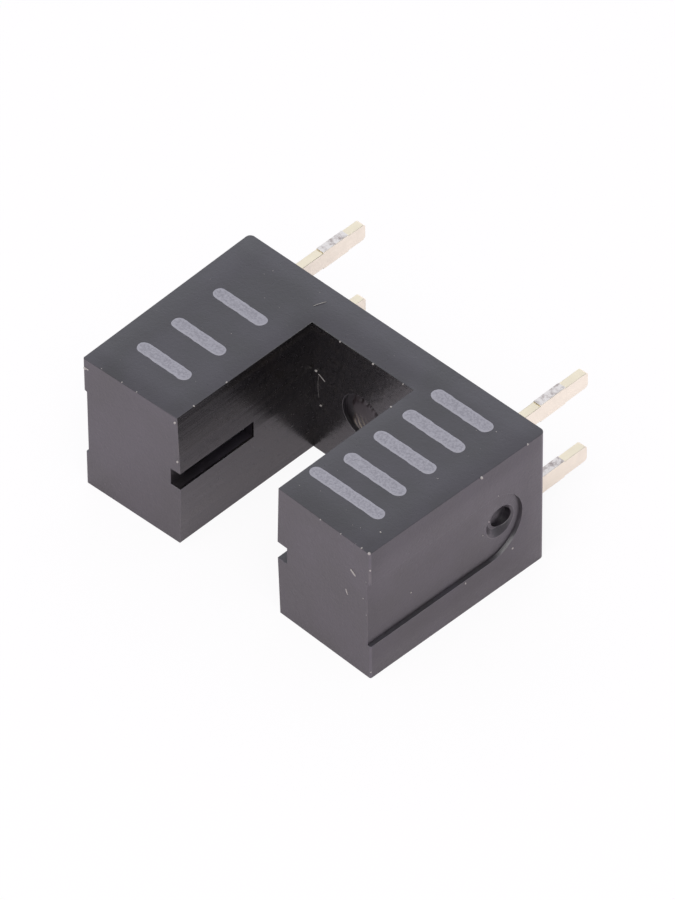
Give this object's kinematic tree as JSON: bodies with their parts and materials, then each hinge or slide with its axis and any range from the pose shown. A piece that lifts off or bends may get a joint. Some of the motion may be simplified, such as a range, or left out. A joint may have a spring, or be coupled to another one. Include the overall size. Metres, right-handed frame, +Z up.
{
  "type": "slotted optical switch",
  "caption": "U-shaped slotted optical switch lying flat: a black moulded case with an infrared emitter and a detector facing across its slot, and flat plated leads at the board end.",
  "frame": {"origin": "Bottom centre of the whole part's box, leads included, on the plane of the broad face it lies on", "axes": "+X from the emitter arm to the detector arm, +Y from the arm tips to the board seat and the lead ends, +Z up through the thickness of the case"},
  "size_m": [0.01, 0.0087, 0.0043],
  "materials": {
    "black_case": "fine matt mould texture",
    "clear_epoxy": "clear, smooth",
    "dark_epoxy": "dark infrared-passing, smooth",
    "plated_lead": "pale plated, satin",
    "emitter_die": "polished",
    "detector_die": "polished",
    "die_adhesive": "silver filled",
    "gold_wire": "drawn"
  },
  "bodies": {
    "root": {"housing": "black_case", "emitter_package": "clear_epoxy", "detector_package": "dark_epoxy", "emitter_anode_lead": "plated_lead", "emitter_cathode_lead": "plated_lead", "detector_collector_lead": "plated_lead", "detector_emitter_lead": "plated_lead", "emitter_chip": "emitter_die", "detector_chip": "detector_die", "emitter_die_bond": "die_adhesive", "detector_die_bond": "die_adhesive", "emitter_bond_wire": "gold_wire", "detector_bond_wire": "gold_wire"}
  },
  "joints": []
}
